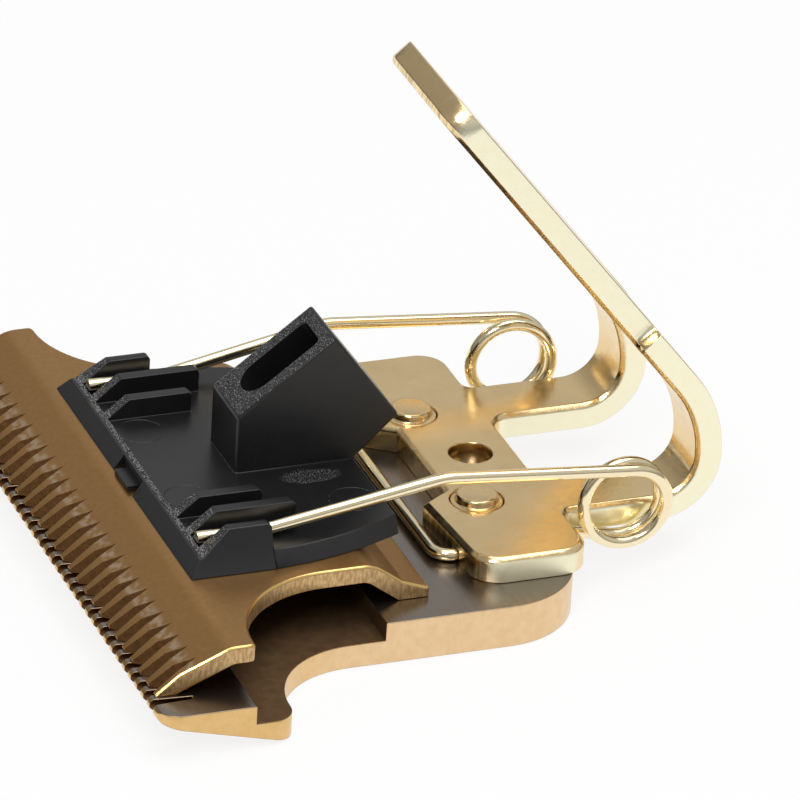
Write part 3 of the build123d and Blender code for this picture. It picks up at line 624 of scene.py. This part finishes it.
wire_shape = bmesh.new()
heading = (route[1] - route[0]).normalized()
ring = bmesh.ops.create_circle(wire_shape, cap_ends=True, segments=WIRE_SIDES, radius=WIRE_RADIUS)["verts"]
stand = Vector((0, 0, 1)).rotation_difference(heading).to_matrix()
bmesh.ops.rotate(wire_shape, verts=ring, cent=(0, 0, 0), matrix=stand)
bmesh.ops.translate(wire_shape, verts=ring, vec=route[0])
loop = list(wire_shape.edges)
for i in range(1, len(route)):
    following = route[min(i + 1, len(route) - 1)] - route[i - 1]
    turn = heading.rotation_difference(following.normalized()).to_matrix()
    heading = following.normalized()
    grown = bmesh.ops.extrude_edge_only(wire_shape, edges=loop)["geom"]
    ring = [part for part in grown if isinstance(part, bmesh.types.BMVert)]
    loop = [part for part in grown if isinstance(part, bmesh.types.BMEdge) and len(part.link_faces) == 1]
    bmesh.ops.rotate(wire_shape, verts=ring, cent=route[i - 1], matrix=turn)
    bmesh.ops.translate(wire_shape, verts=ring, vec=route[i] - route[i - 1])
bmesh.ops.edgeloop_fill(wire_shape, edges=loop)
bmesh.ops.recalc_face_normals(wire_shape, faces=wire_shape.faces)
for face in wire_shape.faces:
    face.smooth = True
for edge in wire_shape.edges:
    edge.smooth = edge.calc_face_angle() < WIRE_SHARP_ANGLE

wire_finish, tree, shader, place = begin_finish("spring_wire_finish", 1.0)
drawn = grain(tree, place, DRAWN_SIZE, detail=3)
tree.links.new(mixed(tree, drawn, WIRE_DARK, WIRE_LIGHT), shader.inputs["Base Color"])
tree.links.new(ramp(tree, drawn, *DRAWN_SPREAD, *WIRE_ROUGHNESS), shader.inputs["Roughness"])
wire = finished_piece(wire_shape, "wound_torsion_spring")
wire.data.materials.append(wire_finish)
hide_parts("torsion_spring")
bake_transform(wire)

# Studio: a pale floor, a large soft lamp overhead, a smaller one beside the camera and a grey room that
# is darker towards the teeth. The camera stands where the photograph's did.

FLOOR_SIZE = 1.6
FLOOR_DROP = 0.02 * MM
FLOOR_COLOUR = (0.86, 0.86, 0.86, 1)
FLOOR_ROUGHNESS = 0.9
FLOOR_GLOW = 0.85
ROOM_COLOUR = (1, 1, 1, 1)
ROOM_HEIGHTS = (0.0, 0.5)
ROOM_HEIGHT_LIGHT = (0.25, 0.58)
ROOM_DEPTHS = (-0.5, 0.3)
ROOM_DEPTH_LIGHT = (0.6, 1.0)
OVERHEAD_SPOT = (0.05, 0.08, 0.55)
OVERHEAD_SIZE = 0.45
OVERHEAD_POWER = 1.5
CAMERA_SIDE_SPOT = (0.30, -0.21, 0.41)
CAMERA_SIDE_SIZE = 0.18
CAMERA_SIDE_POWER = 1.0
VIEW_AZIMUTH = math.radians(68.24)
VIEW_ELEVATION = math.radians(27.41)
VIEW_ROLL = math.radians(3.27)
VIEW_DISTANCE = 466.7 * MM
VIEW_LENS = 406.5
SENSOR = 36.0
CLIP_START = 0.01
AIM = Vector((0, 0, 3.6 * MM))
AIM_RIGHT = 3.629 * MM
AIM_UP = -2.798 * MM

floor_shape = bmesh.new()
bmesh.ops.create_grid(floor_shape, x_segments=1, y_segments=1, size=FLOOR_SIZE / 2)
bmesh.ops.translate(floor_shape, verts=floor_shape.verts, vec=(0, 0, -FLOOR_DROP))
floor = finished_piece(floor_shape, "studio_floor")
floor_paint = bpy.data.materials.new("floor_paint")
floor_paint.use_nodes = True
tree = floor_paint.node_tree
shader = tree.nodes["Principled BSDF"]
shader.inputs["Base Color"].default_value = FLOOR_COLOUR
shader.inputs["Roughness"].default_value = FLOOR_ROUGHNESS
glow = tree.nodes.new("ShaderNodeEmission")
path = tree.nodes.new("ShaderNodeLightPath")
seen = arithmetic(tree, "MAXIMUM", path.outputs["Is Camera Ray"], path.outputs["Is Glossy Ray"])
seen = arithmetic(tree, "MAXIMUM", seen, path.outputs["Is Transmission Ray"])
blend = tree.nodes.new("ShaderNodeMixShader")
tree.links.new(arithmetic(tree, "MULTIPLY", seen, FLOOR_GLOW), blend.inputs[0])
tree.links.new(shader.outputs[0], blend.inputs[1])
tree.links.new(glow.outputs[0], blend.inputs[2])
tree.links.new(blend.outputs[0], tree.nodes["Material Output"].inputs["Surface"])
floor.data.materials.append(floor_paint)

room = bpy.data.worlds.new("studio_room")
bpy.context.scene.world = room
room.use_nodes = True
tree = room.node_tree
_, depth, height = parts_of(tree, tree.nodes.new("ShaderNodeTexCoord").outputs["Generated"])
strength = all_of(
    tree,
    ramp(tree, height, *ROOM_HEIGHTS, *ROOM_HEIGHT_LIGHT),
    ramp(tree, depth, *ROOM_DEPTHS, *ROOM_DEPTH_LIGHT),
)
tree.nodes["Background"].inputs["Color"].default_value = ROOM_COLOUR
tree.links.new(strength, tree.nodes["Background"].inputs["Strength"])


def soft_lamp(name, spot, size, power):
    """A square soft lamp at a spot, turned towards the object."""
    data = bpy.data.lights.new(name, "AREA")
    data.shape = "SQUARE"
    data.size = size
    data.energy = power
    lamp = bpy.data.objects.new(name, data)
    lamp.location = spot
    lamp.rotation_euler = (-Vector(spot)).to_track_quat("-Z", "Y").to_euler()
    bpy.context.scene.collection.objects.link(lamp)


soft_lamp("overhead_softbox", OVERHEAD_SPOT, OVERHEAD_SIZE, OVERHEAD_POWER)
soft_lamp("camera_side_softbox", CAMERA_SIDE_SPOT, CAMERA_SIDE_SIZE, CAMERA_SIDE_POWER)

toward = Vector((
    math.sin(VIEW_AZIMUTH) * math.cos(VIEW_ELEVATION),
    -math.cos(VIEW_AZIMUTH) * math.cos(VIEW_ELEVATION),
    math.sin(VIEW_ELEVATION),
))
level_right = Vector((math.cos(VIEW_AZIMUTH), math.sin(VIEW_AZIMUTH), 0))
level_up = toward.cross(level_right)
right = level_right * math.cos(VIEW_ROLL) + level_up * math.sin(VIEW_ROLL)
upward = level_up * math.cos(VIEW_ROLL) - level_right * math.sin(VIEW_ROLL)
lens = bpy.data.cameras.new("photo_camera")
lens.lens = VIEW_LENS
lens.sensor_width = SENSOR
lens.clip_start = CLIP_START
camera = bpy.data.objects.new("photo_camera", lens)
spot = AIM - right * AIM_RIGHT - upward * AIM_UP + toward * VIEW_DISTANCE
camera.matrix_world = Matrix.Translation(spot) @ Matrix((right, upward, toward)).transposed().to_4x4()
bpy.context.scene.collection.objects.link(camera)
bpy.context.scene.camera = camera
bpy.context.scene.view_settings.view_transform = "Standard"
